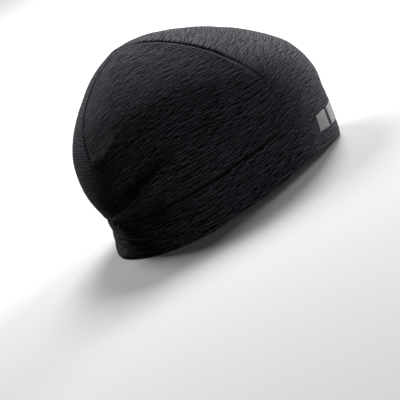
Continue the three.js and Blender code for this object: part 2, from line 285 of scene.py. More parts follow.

# %% [markdown]
# Darts, folds and the step at the hem
#
# Jersey is flat, so four darts take away what the round head doesn't need. Each one pulls a
# narrow groove into the cloth, with shade painted as a crisp dark line at its bottom, and the
# flat gores beside it meet at an edge that stands a little proud. An ear pushes a broad bulge
# out of each side. The slack behind it falls into one strong slanting fold, with a hollow
# above and a valley under it. All of these move the cloth along its normal, so they add up.
# A cloth simulation could find such folds too, but here their places are known, and a
# listed fold stays where it is put.

# %% Reliefs of the cloth, in millimetres
CLOTH = 1.2
HEM = 2 * CLOTH
FOLDS = [
    # rise, half width at both ends, how steep above, fading shares, pairs of an angle and a height
    (6.4, 2.8, 6.2, 0.35, 0.12, 0.4, [
        (163, 33.5), (146, 41), (136, 45), (126.5, 49), (120, 53),
        (113, 58), (107, 61.5), (101, 64), (95, 65), (84, 65.5),
    ]),
    (-4.6, 5.5, 11, 0, 0.2, 0.35, [
        (155, 46), (142, 51), (133, 56.5), (125, 61.5), (117.5, 67.5), (110.5, 72), (104, 75), (94, 77),
    ]),
    (-4.4, 2.2, 4.6, 0.2, 0.1, 0.45, [
        (162, 32.5), (145, 38.8), (136, 42), (128, 44.2), (121, 46.5), (114, 49),
    ]),
    (1.3, 1.8, 4, 0, 0.2, 0.35, [(143, 38), (134, 39), (127, 42), (119, 45), (112, 48)]),
    (-1.9, 1.8, 3.2, 0, 0.2, 0.35, [
        (158, 29), (140, 32), (131, 30.5), (122.5, 27), (115.5, 23), (107, 17),
    ]),
    (1.6, 1.6, 2.6, 0, 0.15, 0.4, [
        (158, 23), (140, 21), (130, 19.4), (120, 17), (111, 14.4), (102, 13), (90, 12),
    ]),
    (-1.3, 1.2, 2.0, 0, 0.1, 0.4, [
        (166, 22), (163, 19), (145, 16), (132, 14.5), (119, 10.3), (108, 8), (95, 7),
    ]),
    (4, 14, 16, 0, 0.3, 0.3, [(124, 38), (100, 40), (70, 38)]),
    (-2.6, 10, 16, 0, 0.25, 0.3, [(138, 62), (118, 70), (96, 74), (72, 76)]),
    (1.4, 4, 6, 0, 0.25, 0.25, [(149, 84), (132, 87), (118, 98)]),
    (2.6, 3, 7, 0.2, 0.1, 0.4, [(-164, 31), (-147, 38), (-132, 46), (-118, 52), (-106, 58), (-84, 62)]),
    (-3.2, 2.2, 4.5, 0.2, 0.1, 0.45, [(-167, 27), (-150, 31), (-136, 37), (-122, 42), (-108, 47)]),
    (-1.2, 1.8, 3, 0, 0.2, 0.35, [(-158, 23), (-140, 25), (-122, 22), (-106, 15)]),
    (1.0, 1.5, 2.6, 0, 0.15, 0.4, [(-162, 22), (-144, 19), (-126, 14), (-104, 10)]),
    (4, 14, 16, 0, 0.3, 0.3, [(-124, 38), (-100, 40), (-70, 38)]),
    (-3.2, 10, 16, 0, 0.25, 0.3, [(-138, 62), (-118, 70), (-96, 74), (-72, 76)]),
    (1.2, 5, 5, 0, 0.25, 0.25, [(-148, 83), (-134, 86), (-121, 94)]),
    (-1.6, 5, 5, 0, 0.25, 0.25, [(150, 24), (165, 25), (180, 24), (195, 25), (210, 24)]),
]
MM_PER_DEGREE = 1.55
DART_GROOVE = (0.9, 1.6)
FRONT_DART_PULL = [(0.3, 2.6, 1.3), (0.7, 3.9, 1.6)]
BACK_DART_PULL = [(1, 3.6, 0.7)]
SEAM_RIDGES = [("front_seam", 2, 8, 4, 2), ("back_seam", 1, 8, 4, 2)]
RIDGE_CROWN_FADE = 1
FRONT_LINE_PULL = [(1, 4.6, 1.2)]
BACK_LINE_PULL = [(1, 3.7, 0.5)]
SEAM_GROOVE_AND_SHADE = (0.9, 0.6)
HEM_LIP = (2.2, 7)
HEM_STEP_DEPTH = 1.2
HEM_STEP_REACH = 14
HEM_STEP_FADE = (40, 30)
FOREHEAD_SHARE = 0.25
CREASE_WIDTH = 1.5
CREASE_FADE = (44, 16)
CREASE_SHADE_FADE = (44, 22)
CREASE_DEPTHS = (0.05, 1.9)
LIP_DEPTHS = (0.1, 1.5)
NAPE_FLARE_RISE = 2.2
NAPE_FLARE_REACH = 11
NAPE_FADE = (142, 25)
UNEVEN_RISE = 0.16
UNEVEN_WAVES = 14
UNEVEN_LENGTHS = (14, 40)
UNEVEN_START = 0.5
UNEVEN_SEED = 11


def fold_rise(angle, height):
    """How far the folds lift the cloth at a place, seen as a flat map of angle and height."""
    total = np.zeros(np.shape(angle))
    for rise, first_width, last_width, steepness, fade_in, fade_out, path in FOLDS:
        flat = [(turn * MM_PER_DEGREE, tall) for turn, tall in path]
        lengths = [math.dist(start, end) for start, end in zip(flat, flat[1:])]
        nearest = np.full(np.shape(angle), np.inf)
        run = np.zeros(np.shape(angle))
        above = np.zeros(np.shape(angle))
        for index, length in enumerate(lengths):
            step = np.subtract(flat[index + 1], flat[index])
            across = turn_between(path[index][0], angle) * MM_PER_DEGREE
            rising = height - path[index][1]
            share = np.clip((across * step[0] + rising * step[1]) / length**2, 0, 1)
            distance = np.hypot(across - share * step[0], rising - share * step[1])
            is_above = rising * abs(step[0]) > across * step[1] * np.sign(step[0])
            above = np.where(distance < nearest, is_above, above)
            run = np.where(distance < nearest, sum(lengths[:index]) + share * length, run)
            nearest = np.minimum(nearest, distance)
        share = run / sum(lengths)
        ends = smooth(share / fade_in) * smooth((1 - share) / fade_out)
        lean = 1 + steepness * (1 - 2 * above)
        total += rise * ends * bell(nearest, lean * mix(first_width, last_width, share))
    return total


def pull_at(steps, level):
    return sum(share * smooth((level - start) / run) for share, start, run in steps)


def seam_distance(row, seam, side, angle):
    """How far round the hat a place is from a dart, in millimetres."""
    radius = (2 * row["half"] + row["front"] + row["back"]) / 4
    return np.abs(np.radians(turn_between(side * row[seam], angle))) * radius


def seam_strength(level, angle, width, front_pull, back_pull):
    """From 0 to 1, how close a place is to the nearest dart, where that dart pulls."""
    row = section_at(level)
    left = 1
    for seam, pull in (("front_seam", front_pull), ("back_seam", back_pull)):
        for side in (1, -1):
            near = bell(seam_distance(row, seam, side, angle), width)
            left = left * (1 - pull_at(pull, level) * near)
    return 1 - left


def seam_ridges(level, angle):
    """The gores stay flat and meet at an edge, which stands a little proud at the darts."""
    row = section_at(level)
    total = np.zeros(level.shape)
    for seam, rise, width, start, run in SEAM_RIDGES:
        for side in (1, -1):
            near = np.exp(-seam_distance(row, seam, side, angle) / width)
            total += rise * near * smooth((level - start) / run)
    return total * smooth((CROWN - level) / RIDGE_CROWN_FADE)


def dart_depth(level, angle):
    depth, width = DART_GROOVE
    return depth * seam_strength(level, angle, width, FRONT_DART_PULL, BACK_DART_PULL)


# Along the darts: the groove cut into the cloth, and the shade painted into its bottom.
def seam_groove_and_shade(level, angle):
    return seam_strength(level, angle, SEAM_GROOVE_AND_SHADE[1], FRONT_LINE_PULL, BACK_LINE_PULL)


def temple_share(angle, start, run):
    """0 over the forehead, where the cloth is taut, and 1 from the temples back."""
    return smooth((side_angle(angle) - start) / run)


def hem_step(level, angle, height):
    """The single cloth steps in above the double hem."""
    depth = HEM_STEP_DEPTH * mix(FOREHEAD_SHARE, 1, temple_share(angle, *HEM_STEP_FADE))
    near = bell(height - LEVELS[HEM_TOP][0], HEM_STEP_REACH)
    return np.where(level < HEM_TOP, 0, depth * near)


def nape_flare(angle, height):
    return NAPE_FLARE_RISE * temple_share(angle, *NAPE_FADE) * bell(height, NAPE_FLARE_REACH)


def hem_crease(level, angle, height):
    """The seamed line, where the thick hem rolls in towards the single cloth."""
    share = temple_share(angle, *CREASE_FADE)
    distance = height - LEVELS[HEM_TOP][0]
    near = bell(distance, CREASE_WIDTH)
    lip = mix(*LIP_DEPTHS, share) * near + HEM_LIP[0] * share * bell(distance, HEM_LIP[1])
    return np.where(level < HEM_TOP, lip, mix(*CREASE_DEPTHS, share) * near)


def painted_seam_shade_at(level, angle):
    """How much shade is painted at a place: in the dart grooves, and in the crease above the hem."""
    height = section_at(level)["height"]
    near = bell(height - LEVELS[HEM_TOP][0], CREASE_WIDTH)
    crease = temple_share(angle, *CREASE_SHADE_FADE) * near
    return np.maximum(seam_groove_and_shade(level, angle), crease)


def unevenness(level, angle):
    """Long soft waves, so that the cloth isn't as even as moulded plastic."""
    source = np.random.default_rng(UNEVEN_SEED)
    points = outline_point(level, angle)
    total = np.zeros(level.shape)
    for _ in range(UNEVEN_WAVES):
        direction = source.normal(size=3)
        turns = points @ direction / np.linalg.norm(direction) / source.uniform(*UNEVEN_LENGTHS)
        total += np.sin(2 * np.pi * (turns + source.uniform()))
    return UNEVEN_RISE * total / math.sqrt(UNEVEN_WAVES) * smooth(level / UNEVEN_START)


def cloth_point(level, angle, inward=0.0, fine=True):
    """A point of the cloth, moved inwards from its outer face, in millimetres."""
    level, angle = np.broadcast_arrays(np.asarray(level, float), np.asarray(angle, float))
    height = section_at(level)["height"]
    rise = fold_rise(angle, height) + nape_flare(angle, height) + unevenness(level, angle)
    rise = rise + seam_ridges(level, angle)
    rise = rise - dart_depth(level, angle) - hem_step(level, angle, height)
    rise = rise - hem_crease(level, angle, height)
    if fine:
        rise = rise - SEAM_GROOVE_AND_SHADE[0] * seam_groove_and_shade(level, angle)
    offset = (rise - inward)[..., None]
    return outline_point(level, angle) + outline_normal(level, angle) * offset


crown_point = cloth_point(CROWN, 0)
print("crown, in mm:", crown_point.round(1))

# %% [markdown]
# One grid for the whole cloth
#
# Cloth and hem are both cut from the same grid of levels and angles, so their edges meet.
# The columns follow the darts up to the crown and crowd together beside them, where the
# surface bends most. The rows are spread evenly by their real distance on the cloth, not
# by level, which would leave the crown too coarse.

# %% Grid of the cloth
GORES = [
    # its edges at a level, its columns, the way it faces, and how straight its courses run
    (lambda row: (-row["front_seam"], row["front_seam"]), 116, (0, -1), 0.75),
    (lambda row: (row["front_seam"], row["back_seam"]), 124, (-1, 0), 1),
    (lambda row: (row["back_seam"], 360 - row["back_seam"]), 76, (0, 1), 0),
    (lambda row: (360 - row["back_seam"], 360 - row["front_seam"]), 124, (1, 0), 1),
]
CROWDING = 0.86
HEM_ROWS = 44
BODY_ROWS = 150
MEASURE_STEPS = 600


def crowded(count, crowding=CROWDING):
    """Shares from 0 to just under 1 that crowd towards both ends."""
    t = np.arange(count) / count
    return t - crowding * np.sin(2 * np.pi * t) / (2 * np.pi)


def column_angles(levels, edges, shares):
    """Angles of a gore's columns at each level: a row for each level."""
    start, end = edges(section_at(levels))
    return mix(start[:, None], end[:, None], shares[None, :])


def even_levels(bottom, top, rows):
    """Levels whose rings lie evenly spaced on the cloth, measured on the right side."""
    fine = np.linspace(bottom, top, MEASURE_STEPS)
    profile = outline_point(fine, np.full(MEASURE_STEPS, 90.0))
    steps = np.linalg.norm(np.diff(profile, axis=0), axis=1)
    run = np.concatenate([[0], np.cumsum(steps)])
    return np.interp(np.linspace(0, run[-1], rows + 1), run, fine)


def grid_angles(levels):
    parts = [column_angles(levels, edges, crowded(columns)) for edges, columns, _, _ in GORES]
    return np.concatenate(parts, axis=1)


hem_levels = even_levels(0, HEM_TOP, HEM_ROWS)
body_levels = even_levels(HEM_TOP, CROWN, BODY_ROWS)
print("grid:", len(hem_levels), "+", len(body_levels), "rows of", sum(gore[1] for gore in GORES))

# %% [markdown]
# Where the yarn runs
#
# A jersey's courses are its rows of stitches. On this hat they run level round the rim.
# Each gore was cut from flat cloth, so towards the crown its courses stay straight across
# the gore: fully on the sides, less so in front, and not behind, where the gore is narrow.
# Those of two gores meet at an angle on their seam. A UV map holds this: u is the distance
# along a course and v the distance across the courses, both in metres, and each gore has
# its own piece of the map. Every cloth material reads this map.

# %% UV map of the courses
STRAIGHT_REACH = 190
ROWS_ABOVE = 40
ROWS_BELOW = 20


def course_map(levels):
    """For each gore, u and v in mm at every grid corner: arrays of rows by columns by two."""
    above = np.concatenate([levels, even_levels(levels[-1], CROWN, ROWS_ABOVE)[1:]])
    below = even_levels(0, levels[0], ROWS_BELOW)[:-1] if levels[0] > 0 else np.zeros(0)
    tall = np.concatenate([below, above])
    crown = outline_point(np.array(float(CROWN)), np.array(0.0))
    start = 0
    maps = []
    for edges, columns, facing, straightness in GORES:
        shares = np.append(crowded(columns), 1.0)
        angles = column_angles(tall, edges, shares)
        points = outline_point(np.broadcast_to(tall[:, None], angles.shape), angles)
        climbs = np.linalg.norm(np.diff(points, axis=0), axis=2)
        to_crown = np.vstack([np.cumsum(climbs[::-1], axis=0)[::-1], np.zeros(len(shares))])
        whole = to_crown[0]
        strides = np.linalg.norm(np.diff(points, axis=1), axis=2)
        ring = np.hstack([np.zeros((len(tall), 1)), np.cumsum(strides, axis=1)])
        middle_ring = np.array([np.interp(0.5, shares, row) for row in ring])[:, None]
        middle_whole = np.interp(0.5, shares, whole)
        out = points[..., :2] - crown[:2]
        reach = np.maximum(np.linalg.norm(out, axis=2), 1e-9)
        ahead = (out @ np.array(facing)) / reach
        aside = (out @ np.array([facing[1], -facing[0]])) / reach
        straight = 1 - smooth(to_crown / STRAIGHT_REACH)
        u = mix(ring - middle_ring, to_crown * aside, straight)
        bow = to_crown * (1 - ahead) - (whole - middle_whole)
        v = whole - to_crown + straightness * straight * bow
        kept = slice(len(below), len(below) + len(levels))
        maps.append(np.stack([u + start + middle_ring[len(below)], v], axis=-1)[kept])
        start += ring[len(below), -1]
    return maps


def cell_corners(maps):
    """The map's values at the four corners of every cell: rows by columns by four by two."""
    cells = [
        np.stack([part[:-1, 1:], part[:-1, :-1], part[1:, :-1], part[1:, 1:]], axis=2)
        for part in maps
    ]
    return np.concatenate(cells, axis=1)


first_cell = cell_corners(course_map(body_levels))[0, 0]
print("a cell of the course map, in mm:", first_cell.round(2).tolist())

# %% [markdown]
# Heathered jersey
#
# The cloth is knitted from dark yarn with paler wool spun into it. Up close it shows the V
# of every stitch, and from further off fine streaks along the courses, because each pale
# stretch of yarn runs on for some stitches. Rows come in pairs: where one of a pair is
# pale, the other tends to be dark. An image texture could hold this, but a procedural one
# has no edges and no resolution, and its sizes are true millimetres. The inside shows the
# back of the same cloth, where the loops lie as small waves.
#
# Wool glows a little at grazing angles, where its fibre ends catch the light. The sheen of
# the Principled shader does that, as a constant, so that it survives an export.

# %% Node helpers and the jersey material
WALE = 1.1
COURSE = 1.1
STITCH_RELIEF = 0.10
TONE_RELIEF = 0.10
YARN_RUN = 10
ROW_JUMP = 3.7
PAIR_STEP = 0.04
PAIR_CONTRAST = 1.4
ROW_CONTRAST = 0.5
TONE_RANGE = (-0.13, 0.17)
WANDER = 0.6
WANDER_SIZE = (6, 6)
GRAIN_SIZE = (1.6, 1.3)
CLOUD_SIZE = (60, 45)
CLOUD_RANGE = (0.2, 0.8)
SEAM_SHADE_RANGE = (0.2, 0.6)
GRAIN_RANGE = (0.38, 0.62)
GRAIN_SHADE = 0.55
YARN_DARK = (0.0085, 0.0080, 0.0108, 1)
YARN_PALE = (0.130, 0.121, 0.148, 1)
SEAM_SHADE_BLACK = (0.001, 0.001, 0.0012, 1)
CLOUD_TINT = (0.84, 0.84, 0.86, 1)
SHEEN_WEIGHT = 0.05
SHEEN_ROUGHNESS = 0.45
SHEEN_TINT = (0.96, 0.93, 1.0, 1)


class Board:
    """Adds nodes to a tree and joins them. A value may be a plain one or a socket."""

    def __init__(self, tree):
        self.tree = tree

    def put(self, value, socket):
        if isinstance(value, bpy.types.NodeSocket):
            self.tree.links.new(value, socket)
        else:
            socket.default_value = value

    def add(self, kind, values=(), **settings):
        """values is a row of input values, or a dict of them by input name or number."""
        node = self.tree.nodes.new(kind)
        for key, value in settings.items():
            setattr(node, key, value)
        pairs = values.items() if isinstance(values, dict) else enumerate(values)
        for key, value in pairs:
            self.put(value, node.inputs[key])
        return node

    def math(self, operation, *values):
        return self.add("ShaderNodeMath", values, operation=operation).outputs[0]

    def noise(self, vector, detail=2.0, roughness=0.5):
        values = {"Vector": vector, "Scale": 1, "Detail": detail, "Roughness": roughness}
        return self.add("ShaderNodeTexNoise", values).outputs["Fac"]

    def stretched(self, x, y, length, width):
        """A place on the map, measured in pattern lengths along and pattern widths across."""
        parts = (self.math("DIVIDE", x, length), self.math("DIVIDE", y, width))
        return self.add("ShaderNodeCombineXYZ", parts).outputs[0]

    def ramp(self, value, low, high):
        values = (value, low, high)
        return self.add("ShaderNodeMapRange", values, interpolation_type="SMOOTHSTEP").outputs[0]

    def blend(self, share, first, second, how="MIX"):
        node = self.add("ShaderNodeMix", data_type="RGBA", blend_type=how)
        for key, value in (("Factor_Float", share), ("A_Color", first), ("B_Color", second)):
            self.put(value, next(s for s in node.inputs if s.identifier == key))
        return next(s for s in node.outputs if s.identifier == "Result_Color")

    def bump(self, height, distance):
        values = {"Strength": 1, "Distance": distance * MM, "Height": height}
        return self.add("ShaderNodeBump", values).outputs["Normal"]


def course_place(board):
    """The course map's two coordinates, in millimetres."""
    uv = board.add("ShaderNodeUVMap", uv_map="courses").outputs["UV"]
    parts = board.add("ShaderNodeSeparateXYZ", (uv,))
    return [board.math("DIVIDE", parts.outputs[name], MM) for name in ("X", "Y")]


def stitch_faces(board, x, y):
    """The V stitches: the course that a place is in, and the height of the yarn there."""
    leg = board.math("PINGPONG", board.math("DIVIDE", x, WALE / 2), 1)
    course = board.math("MULTIPLY_ADD", leg, 0.25, board.math("DIVIDE", y, COURSE))
    rib = board.math("PINGPONG", board.math("MULTIPLY", course, 2), 1)
    edge = board.math("ABSOLUTE", board.math("MULTIPLY_ADD", leg, 2, -1))
    leg_body = board.math("SUBTRACT", 1, board.math("POWER", edge, 4))
    return course, board.math("MULTIPLY", board.math("POWER", rib, 0.7), leg_body)


def stitch_backs(board, x, y):
    """The same for the waves of loops on the back of the cloth."""
    wave = board.math("SINE", board.math("MULTIPLY", x, 2 * math.pi / WALE))
    course = board.math("MULTIPLY_ADD", wave, 0.3, board.math("DIVIDE", y, COURSE))
    rib = board.math("PINGPONG", board.math("MULTIPLY", course, 2), 1)
    return course, board.math("POWER", rib, 0.7)


def jersey(name, stitches, dark=YARN_DARK, pale=YARN_PALE):
    material, tree, shader = principled(name)
    board = Board(tree)
    x, y = course_place(board)
    wander = board.noise(board.stretched(x, y, *WANDER_SIZE), detail=1)
    course, height = stitches(board, board.math("MULTIPLY_ADD", wander, WANDER, x), y)
    row = board.math("FLOOR", course)
    pair = board.math("FLOOR", board.math("DIVIDE", row, 2))
    side = board.math("MULTIPLY_ADD", board.math("PINGPONG", row, 1), 2, -1)
    yarns = []
    for place in (pair, row):
        parts = (board.math("DIVIDE", x, YARN_RUN), board.math("MULTIPLY", place, ROW_JUMP))
        yarn = board.noise(board.add("ShaderNodeCombineXYZ", parts).outputs[0], detail=1)
        yarns.append(board.math("SUBTRACT", yarn, 0.5 - PAIR_STEP))
    grain = board.noise(board.stretched(x, y, *GRAIN_SIZE), detail=1, roughness=0.6)
    clouds = board.noise(board.stretched(x, y, *CLOUD_SIZE), detail=1)
    paired = board.math("MULTIPLY", board.math("MULTIPLY", yarns[0], side), PAIR_CONTRAST)
    tone = board.ramp(board.math("MULTIPLY_ADD", yarns[1], ROW_CONTRAST, paired), *TONE_RANGE)
    colour = board.blend(tone, dark, pale)
    colour = board.blend(board.ramp(clouds, *CLOUD_RANGE), colour, CLOUD_TINT, "MULTIPLY")
    speckle = board.math("MULTIPLY_ADD", board.ramp(grain, *GRAIN_RANGE), GRAIN_SHADE, 1 - GRAIN_SHADE)
    # Painted shade in the stitch hollows: the colour is darker where the yarn lies low, and the grain
    # speckle darkens it at random.
    depth = board.math("MULTIPLY", board.math("MULTIPLY_ADD", height, 0.3, 0.7), speckle)
    shade = board.add("ShaderNodeCombineXYZ", (depth, depth, depth)).outputs[0]
    colour = board.blend(1.0, colour, shade, "MULTIPLY")
    # Painted shade: the dart grooves, the crown tip and the crease above the hem are blackened in the
    # colour.
    line = board.add("ShaderNodeAttribute", attribute_name="painted_seam_shade").outputs["Fac"]
    colour = board.blend(board.ramp(line, *SEAM_SHADE_RANGE), colour, SEAM_SHADE_BLACK)
    board.put(colour, shader.inputs["Base Color"])
    relief = board.math("MULTIPLY_ADD", tone, TONE_RELIEF / STITCH_RELIEF, height)
    board.put(board.bump(relief, STITCH_RELIEF), shader.inputs["Normal"])
    set_surface(shader, 0.9, 0.1)
    shader.inputs["Sheen Weight"].default_value = SHEEN_WEIGHT
    shader.inputs["Sheen Roughness"].default_value = SHEEN_ROUGHNESS
    shader.inputs["Sheen Tint"].default_value = SHEEN_TINT
    return material


jersey_face = jersey("jersey face", stitch_faces)
jersey_back = jersey("jersey back", stitch_backs)
print("nodes in the jersey material:", len(jersey_face.node_tree.nodes))

# %% [markdown]
# Cloth from rings
#
# Every cloth piece is a stack of rings that starts at the top of its inside, runs down to
# the rim, turns, and climbs the outside. Quads join each ring to the next. One helper
# builds the body and the hem alike. Each quad's corners have their own place on the course
# map, so that the map can break at a dart while the cloth itself doesn't.

# %% Mesh helpers
def ring_quads(rows, columns, closed=False):
    """Quads between rings, facing out. Closed joins the last ring to the first as well."""
    row = np.arange(rows if closed else rows - 1)[:, None]
    column = np.arange(columns)[None, :]
    above = (row + 1) % rows * columns
    beside = (column + 1) % columns
    corners = (row * columns + beside, row * columns + column, above + column, above + beside)
    return np.stack(np.broadcast_arrays(*corners), axis=2).reshape(-1, 4)


def make_piece(name, points, faces, materials, corner_map=None, face_materials=None, values=None):
    """A mesh object at the origin. Points and the course map are in millimetres."""
    mesh = bpy.data.meshes.new(name)
    mesh.from_pydata((np.asarray(points) * MM).tolist(), [], faces)
    for material in materials:
        mesh.materials.append(material)
    if corner_map is not None:
        uv = (np.asarray(corner_map) * MM).astype(np.float32).ravel()
        mesh.uv_layers.new(name="courses").data.foreach_set("uv", uv)
    if face_materials is not None:
        mesh.polygons.foreach_set("material_index", np.asarray(face_materials, np.int32))
    for key, value in (values or {}).items():
        data = mesh.attributes.new(key, "FLOAT", "POINT").data
        data.foreach_set("value", np.asarray(value, np.float32).ravel())
    mesh.shade_smooth()
    mesh.update()
    piece = bpy.data.objects.new(name, mesh)
    bpy.context.collection.objects.link(piece)
    return piece


def put_on_hat(piece, slot, *nodes):
    """The piece rides on the hat's only body, and stands for these nodes of the model."""
    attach(piece, "root")
    if nodes:
        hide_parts(*nodes)


def describe(piece):
    """Prints a piece's triangles and its volume, which is above zero if it faces out."""
    mesh = piece.data
    mesh.calc_loop_triangles()
    triangles = np.array([triangle.vertices for triangle in mesh.loop_triangles])
    places = np.array([vertex.co for vertex in mesh.vertices], float) / MM
    a, b, c = (places[triangles[:, corner]] for corner in range(3))
    volume = np.einsum("ij,ij->i", a, np.cross(b, c)).sum() / 6
    print(piece.name, "has", len(triangles), "triangles and", round(volume, 1), "cubic mm")


def cloth_rings(levels, inward):
    """Rings at these levels and depths, and how much painted seam shade a point has."""
    angles = grid_angles(levels)
    wide, deep = levels[:, None], inward[:, None]
    outer = cloth_point(wide, angles, deep)
    inner = cloth_point(wide, angles, deep, fine=False)
    points = np.where(deep[..., None] > 0, inner, outer)
    return points, np.where(deep > 0, 0, painted_seam_shade_at(wide, angles))


# %% [markdown]
# The body
#
# The body is one shell of cloth, 1.2 mm thick, from the hem's top to the crown. A Solidify
# modifier could add the thickness, but the inside needn't be as fine as the outside: it
# has fewer rings, no groove at the darts and no painted seam shade.

# %% Body of the hat
SEAM_CLEARANCE = 0.0002
INNER_ROWS = 36


def make_body():
    outside = body_levels[:-1].copy()
    outside[0] = HEM_TOP + SEAM_CLEARANCE
    inside = even_levels(outside[0], CROWN, INNER_ROWS)[-2::-1]
    levels = np.concatenate([inside, outside])
    inward = np.where(np.arange(len(levels)) < len(inside), CLOTH, 0)
    rings, line = cloth_rings(levels, inward)
    rows, columns = rings.shape[:2]
    parts = zip(course_map(inside[::-1]), course_map(outside))
    stacked = [np.vstack([inner[::-1], outer]) for inner, outer in parts]
    corners = cell_corners(stacked).reshape(-1, 2)
    faces = ring_quads(rows, columns)
    tips = [cloth_point(CROWN, 0, depth, fine=False) for depth in (CLOTH, 0)]
    points = np.vstack([rings.reshape(-1, 3), tips])
    inner_tip, outer_tip = len(points) - 2, len(points) - 1
    column = np.arange(columns)
    beside = (column + 1) % columns
    last = (rows - 1) * columns
    inner_fan = np.stack([column, beside, np.full(columns, inner_tip)], axis=1)
    outer_fan = np.stack([last + beside, last + column, np.full(columns, outer_tip)], axis=1)
    fan_map = corners.reshape(rows - 1, columns, 4, 2)
    fan_maps = [fan_map[0][:, [1, 0, 0]], fan_map[-1][:, [3, 2, 2]]]
    corner_map = np.vstack([corners] + [part.reshape(-1, 2) for part in fan_maps])
    is_inside = np.repeat(np.arange(rows - 1) < len(inside) - 1, columns)
    face_materials = np.concatenate([is_inside, np.ones(columns), np.zeros(columns)])
    # The crown's outer tip, where the darts meet, gets full painted seam shade.
    line = np.append(line.ravel(), [0, 1])
    return make_piece(
        "cap_body", points, faces.tolist() + inner_fan.tolist() + outer_fan.tolist(),
        [jersey_face, jersey_back], corner_map, face_materials, {"painted_seam_shade": line},
    )


cap_body = make_body()
put_on_hat(cap_body, "knit", "knit_body")
describe(cap_body)

# %% [markdown]
# The hem
#
# The hem is one strip folded in two at the rim, so it is twice as thick and its edge is
# round. Both of its sides show the face of the cloth. It is flat only where it rests on
# the floor. Its section is a closed loop that is carried round the head by the same
# columns as the body's.

# %% Hem of the hat
FOLD_LEVEL = 0.1
FOLD_STEPS = 9
FOLD_BLUNTNESS = 1.5
HEM_INNER_ROWS = 14


def hem_section():
    """Levels and depths round the hem's section: down its inside and up its outside."""
    top = HEM_TOP - SEAM_CLEARANCE
    inside = even_levels(FOLD_LEVEL, top, HEM_INNER_ROWS)[::-1]
    outside = even_levels(FOLD_LEVEL, top, HEM_ROWS)
    turns = np.linspace(0, np.pi, FOLD_STEPS + 1)[1:-1]
    fold = FOLD_LEVEL * (1 - np.sin(turns) ** (1 / FOLD_BLUNTNESS))
    levels = np.concatenate([inside, fold, outside])
    depths = [np.full(len(inside), HEM), HEM / 2 * (1 + np.cos(turns)), np.zeros(len(outside))]
    return levels, np.concatenate(depths)


def hem_map(levels, depths, angles):
    """The hem's course map: the distance round the rim, from behind, and round the section."""
    ring = outline_point(np.full(len(angles) + 1, 1.0), np.append(angles, angles[0]))
    run = np.append(0, np.cumsum(np.linalg.norm(np.diff(ring, axis=0), axis=1)))
    start, end = (part - run[-1] * (angles >= 180) for part in (run[:-1], run[1:]))
    profile = cloth_point(levels, np.full(len(levels), 90.0), depths)
    profile = np.vstack([profile, profile[:1]])
    climb = np.append(0, np.cumsum(np.linalg.norm(np.diff(profile, axis=0), axis=1)))
    u = np.stack([end, start, start, end], axis=-1)[None]
    v = np.stack([climb[:-1], climb[:-1], climb[1:], climb[1:]], axis=-1)[:, None]
    return np.stack(np.broadcast_arrays(u, v), axis=-1).reshape(-1, 2)


def make_hem():
    levels, depths = hem_section()
    rings, line = cloth_rings(levels, depths)
    rings[..., 2] = np.maximum(rings[..., 2], 0)
    faces = ring_quads(*rings.shape[:2], closed=True).tolist()
    corner_map = hem_map(levels, depths, grid_angles(np.ones(1))[0])
    return make_piece(
        "cap_hem", rings.reshape(-1, 3), faces, [jersey_face], corner_map, None, {"painted_seam_shade": line}
    )


cap_hem = make_hem()
put_on_hat(cap_hem, "knit", "hem_band")
describe(cap_hem)

# %% [markdown]
# Seam allowances inside
#
# Inside, each dart ends in a narrow strip of cut edges, and so does the seam between the
# hem and the body. An overlock machine binds them into a soft ridge. A ridge is a rounded
# section that is carried along its seam. A bevelled curve could do that too, but its twist
# would have to be tamed, and here the cloth's own normal says which way is up.

# %% Ridges of the seams
SEAM_WIDTH = 5
SEAM_THICKNESS = 2
SEAM_SINK = 0.4
RIDGE_POINTS = 14
RIDGE_FLATNESS = 0.6
DART_TOP = CROWN - 0.5
BACK_DART_TOP = CROWN - 1.4
DART_END = 3.9
DART_STEPS = 90
DART_TAPER = 5
BAND_SEAM_LEVEL = 1.87
BAND_STEPS = 360
THREAD_BLACK = (0.006, 0.006, 0.007, 1)

seam_thread, _, thread_shader = principled("overlock thread")
set_surface(thread_shader, 0.6, 0.3, THREAD_BLACK)


def dart_line(seam, side):
    """Places along a dart inside the hat: points, the way out of the cloth, and shares of size."""
    top = DART_TOP if seam == "front_seam" else BACK_DART_TOP
    levels = even_levels(DART_END, top, DART_STEPS)
    angles = side * section_at(levels)[seam]
    points = cloth_point(levels, angles, CLOTH - SEAM_SINK, fine=False)
    steps = np.linalg.norm(np.diff(points, axis=0), axis=1)
    run = np.append(0, np.cumsum(steps))
    size = smooth(run / DART_TAPER) * smooth((run[-1] - run) / DART_TAPER)
    return points, outline_normal(levels, angles), np.maximum(size, 0.02)


def band_line():
    """The same for the seam between the hem and the body, which closes on itself."""
    angles = np.arange(BAND_STEPS) * 360 / BAND_STEPS
    levels = np.full(BAND_STEPS, BAND_SEAM_LEVEL)
    points = cloth_point(levels, angles, HEM - SEAM_SINK, fine=False)
    return points, outline_normal(levels, angles), np.ones(BAND_STEPS)


def directions_across(points, normals, closed):
    """For each point of a line, the direction across it in the cloth."""
    if closed:
        along = np.roll(points, -1, axis=0) - np.roll(points, 1, axis=0)
    else:
        along = np.gradient(points, axis=0)
    across = np.cross(normals, along)
    return across / np.linalg.norm(across, axis=1, keepdims=True)


